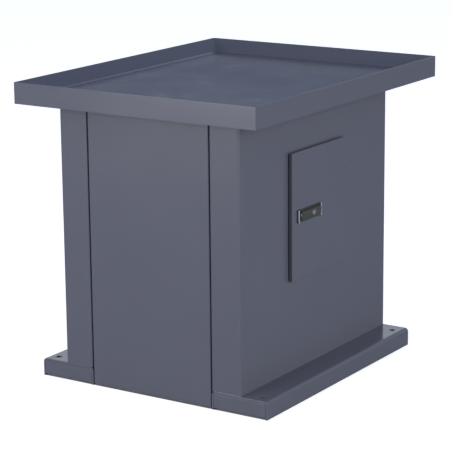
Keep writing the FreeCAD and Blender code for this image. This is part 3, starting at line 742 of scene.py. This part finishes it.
class STAND_OT_latch(Operator):
    """The latch: its plate with two raised end bars, the flat lever and the lock's collar"""

    bl_idname = "stand.latch"
    bl_label = "Latch"

    def execute(self, context):
        size = sizes()
        self.make_plate(size)
        self.make_lever(size)
        self.make_collar(size)
        return {"FINISHED"}

    def make_plate(self, size):
        low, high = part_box("latch_plate")
        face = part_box("door_pan")[1].x
        centre = middle_of("latch_rotor")
        bm = bmesh.new()
        box_shape(bm, Vector((face, low.y, low.z)), Vector((face + size.latch_plate, high.y, high.z)))
        bend(bm, edges_along(bm, ALONG_X), size.latch_plate, 5)
        for y in (low.y + size.end_bar, high.y - size.end_bar):
            slice_at(bm, Vector((0, y, 0)), ALONG_Y)
        top = face + size.latch_plate
        bars_from = (high.y - low.y) / 2 - size.end_bar
        ends = [item for item in bm.faces if item.normal.x > 0.99
                and abs(item.calc_center_median().y - (low.y + high.y) / 2) > bars_from]
        for end in ends:
            grown = bmesh.ops.extrude_face_region(bm, geom=[end])["geom"]
            verts = [item for item in grown if isinstance(item, bmesh.types.BMVert)]
            bmesh.ops.delete(bm, geom=[end], context="FACES_ONLY")
            bmesh.ops.translate(bm, vec=(high.x - top, 0, 0), verts=verts)
        bend(bm, edges_at(bm, 0, high.x), size.end_bar * 0.3, 4)
        depth = size.boss_depth
        bmesh.ops.create_cone(bm, cap_ends=True, segments=48, radius1=size.boss_radius,
                              radius2=size.boss_radius, depth=depth,
                              matrix=Matrix.Translation((face - depth / 2, centre.y, centre.z)) @ FACING_X)
        pin = middle_of("lock_pin")
        sink(bm, Vector((top, pin.y, pin.z)), ALONG_X, size.pin_hole, size.pin_hole_depth)
        piece("latch_base", bm, "door", "bright_chrome", ["latch_plate"], 0.0, size.cut_edge)

    def make_lever(self, size):
        low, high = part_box("latch_lever")
        half = (high.z - low.z) / 2
        pivot = Vector((low.x, low.y + half, low.z + half))
        reach = high.y - pivot.y
        swing = math.asin(half / reach)
        bm = bmesh.new()
        hub = bm.verts.new(pivot + Vector((0, 0, half)))
        bmesh.ops.spin(bm, geom=[hub], cent=pivot, axis=ALONG_X, dvec=Vector(), angle=math.pi, steps=20)
        tip = bm.verts.new(pivot + Vector((0, reach * math.cos(swing), -half)))
        bmesh.ops.spin(bm, geom=[tip], cent=pivot, axis=ALONG_X, dvec=Vector(), angle=2 * swing, steps=8)
        bmesh.ops.remove_doubles(bm, verts=bm.verts, dist=1e-6)
        for z in (low.z, high.z):
            pair = [vert for vert in bm.verts if abs(vert.co.z - z) < 1e-6 and len(vert.link_edges) == 1]
            bm.edges.new(pair)
        bmesh.ops.contextual_create(bm, geom=bm.edges)
        grown = bmesh.ops.extrude_face_region(bm, geom=bm.faces[:])["geom"]
        bmesh.ops.translate(bm, vec=(high.x - low.x, 0, 0),
                            verts=[item for item in grown if isinstance(item, bmesh.types.BMVert)])
        bmesh.ops.recalc_face_normals(bm, faces=bm.faces)
        slice_at(bm, Vector((0, high.y - size.grip_length, 0)), ALONG_Y)
        under = [vert for vert in bm.verts
                 if vert.co.x < low.x + 1e-6 and vert.co.y > high.y - size.grip_length + 1e-6]
        bmesh.ops.translate(bm, vec=(size.grip_depth, 0, 0), verts=under)
        bend(bm, [edge for edge in edges_at(bm, 0, high.x) if edge.calc_face_angle() > 0.5],
             size.lever_edge, 4)
        pin = middle_of("lock_pin")
        pin_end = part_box("lock_pin")[1]
        sink(bm, Vector((low.x, pin.y, pin.z)), -ALONG_X, pin_end.y - pin.y + size.pin_play,
             pin_end.x - low.x + size.pin_play)
        piece("lever", bm, "lever", "dark_nickel", ["latch_lever"], 0.0, size.cut_edge)

    def make_collar(self, size):
        low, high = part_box("lock_barrel")
        centre = middle_of("lock_barrel")
        outer = (high.y - low.y) / 2
        rim = size.cut_edge * 1.3
        outline = [
            (low.x, size.lock_bore),
            (high.x - rim, size.lock_bore),
            (high.x, size.lock_bore + rim),
            (high.x, outer - rim),
            (high.x - rim, outer),
            (low.x, outer),
        ]
        bm = bmesh.new()
        verts = [bm.verts.new((x, centre.y + radius, centre.z)) for x, radius in outline]
        edges = [bm.edges.new(pair) for pair in zip(verts, verts[1:] + verts[:1])]
        bmesh.ops.spin(bm, geom=verts + edges, cent=centre, axis=ALONG_X, dvec=Vector(),
                       angle=2 * math.pi, steps=48, use_merge=True)
        bmesh.ops.recalc_face_normals(bm, faces=bm.faces)
        piece("lock_collar", bm, "lever", "bright_chrome", ["lock_barrel"])


# ---------------------------------------------------------------- finishes of the CAD's own nodes
class STAND_OT_hardware(Operator):
    """Finishes of the inner frame, the fasteners, the seals and the hinges"""

    bl_idname = "stand.hardware"
    bl_label = "Frame and hardware finishes"

    def execute(self, context):
        for part in frame["record"]["subparts"]:
            node = frame["nodes"][part["node"]]
            node.data.materials.clear()
            node.data.materials.append(finish(part["material_slot"]))
        return {"FINISHED"}


# ---------------------------------------------------------------- stage
class STAND_OT_stage(Operator):
    """Pale floor, soft light from all round and the camera"""

    bl_idname = "stand.stage"
    bl_label = "Stage"

    # Height in the sky, from the horizon at 0 to straight up at 1, and the light's colour there
    sky_stops = (
        (0.00, (0.04, 0.06, 0.11)),
        (0.10, (0.04, 0.06, 0.11)),
        (0.18, (0.05, 0.08, 0.14)),
        (0.24, (0.38, 0.43, 0.56)),
        (0.29, (1.44, 1.50, 1.60)),
        (0.38, (1.00, 1.06, 1.17)),
        (0.52, (0.23, 0.31, 0.48)),
        (1.00, (0.14, 0.20, 0.34)),
    )

    # Each lamp's name, place, width in metres and power in watts
    lamps = (
        ("front_softbox", (-1.6, -5.1, 0.9), 3.0, 243.0),
        ("side_softbox", (5.0, -0.9, 1.0), 3.4, 234.0),
        ("high_lamp", (-1.4, -2.6, 4.2), 0.5, 10.0),
    )
    lamps_aim_at = Vector((0, 0, 0.35))

    def execute(self, context):
        stage = context.scene.stand_stage
        context.scene.view_settings.view_transform = "Standard"
        self.make_floor(stage)
        self.make_sky(context.scene, stage)
        self.make_lights()
        self.make_camera(context.scene, stage)
        return {"FINISHED"}

    def make_floor(self, stage):
        bm = bmesh.new()
        bmesh.ops.create_grid(bm, x_segments=4, y_segments=4, size=stage.floor_size / 2)
        mesh = bpy.data.meshes.new("studio_floor")
        bm.to_mesh(mesh)
        bm.free()
        mesh.materials.append(finish("pale_floor"))
        floor = bpy.data.objects.new("studio_floor", mesh)
        bpy.context.scene.collection.objects.link(floor)

    def make_sky(self, scene, stage):
        """White where the camera looks past the floor, and banded like a low studio set elsewhere."""
        world = bpy.data.worlds.new("studio_sky")
        world.use_nodes = True
        nodes = Nodes(world.node_tree)
        direction = nodes.add("ShaderNodeTexCoord", out="Generated")
        height = nodes.add("ShaderNodeSeparateXYZ", None, {0: direction}, "Z")
        band = nodes.add("ShaderNodeValToRGB", {"stops": self.sky_stops}, {0: height})
        seen = nodes.add("ShaderNodeLightPath", out="Is Camera Ray")
        across = nodes.add("ShaderNodeSeparateXYZ", None, {0: direction}, "X")
        lean = 1.0 - across * (1.0 - height) * 0.3
        leaning = nodes.add("ShaderNodeVectorMath", {"operation": "SCALE"}, {0: band, "Scale": lean})
        light = nodes.mix(seen, leaning, (1.0, 1.0, 1.0, 1.0))
        shader = nodes.add("ShaderNodeBackground", None, {"Color": light, "Strength": stage.sky})
        nodes.add("ShaderNodeOutputWorld", None, {"Surface": shader})
        scene.world = world

    def make_lights(self):
        for name, place, size, power in self.lamps:
            data = bpy.data.lights.new(name, "AREA")
            data.shape = "SQUARE"
            data.size = size
            data.energy = power
            lamp = bpy.data.objects.new(name, data)
            lamp.location = place
            lamp.rotation_euler = (self.lamps_aim_at - Vector(place)).to_track_quat("-Z", "Y").to_euler()
            bpy.context.scene.collection.objects.link(lamp)

    def make_camera(self, scene, stage):
        data = bpy.data.cameras.new("camera")
        data.lens = stage.lens
        camera = bpy.data.objects.new("camera", data)
        scene.collection.objects.link(camera)
        middle = (CAD_BOX[0] + CAD_BOX[1]) / 2
        back = Vector((math.sin(stage.azimuth) * math.cos(stage.elevation),
                       -math.cos(stage.azimuth) * math.cos(stage.elevation),
                       math.sin(stage.elevation)))
        camera.location = middle + Vector(stage.aim) + back * stage.distance
        turn = (-back).to_track_quat("-Z", "Y").to_matrix() @ Matrix.Rotation(stage.roll, 3, "Z")
        camera.rotation_euler = turn.to_euler()
        scene.camera = camera


# ---------------------------------------------------------------- panel and registration
OPERATORS = (STAND_OT_tray, STAND_OT_shells, STAND_OT_panels, STAND_OT_channels, STAND_OT_welds,
             STAND_OT_door, STAND_OT_latch, STAND_OT_hardware, STAND_OT_stage)


class STAND_PT_looks(Panel):
    """Lists the stand's pieces"""

    bl_idname = "STAND_PT_looks"
    bl_label = "Machine stand"
    bl_space_type = "VIEW_3D"
    bl_region_type = "UI"
    bl_category = "Stand"

    def draw(self, context):
        for operator in OPERATORS:
            self.layout.operator(operator.bl_idname)
        for group in (context.scene.stand_sizes, context.scene.stand_finishes, context.scene.stand_stage):
            column = self.layout.column(align=True)
            for name in group.__annotations__:
                column.prop(group, name)


CLASSES = (StandSizes, StandFinishes, StandStage) + OPERATORS + (STAND_PT_looks,)


def register():
    for made in CLASSES:
        bpy.utils.register_class(made)
    bpy.types.Scene.stand_sizes = PointerProperty(type=StandSizes)
    bpy.types.Scene.stand_finishes = PointerProperty(type=StandFinishes)
    bpy.types.Scene.stand_stage = PointerProperty(type=StandStage)


def unregister():
    del bpy.types.Scene.stand_stage
    del bpy.types.Scene.stand_finishes
    del bpy.types.Scene.stand_sizes
    for made in reversed(CLASSES):
        bpy.utils.unregister_class(made)


def main():
    register()
    for operator in OPERATORS:
        group, name = operator.bl_idname.split(".")
        getattr(getattr(bpy.ops, group), name)()


if __name__ == "__main__":
    main()
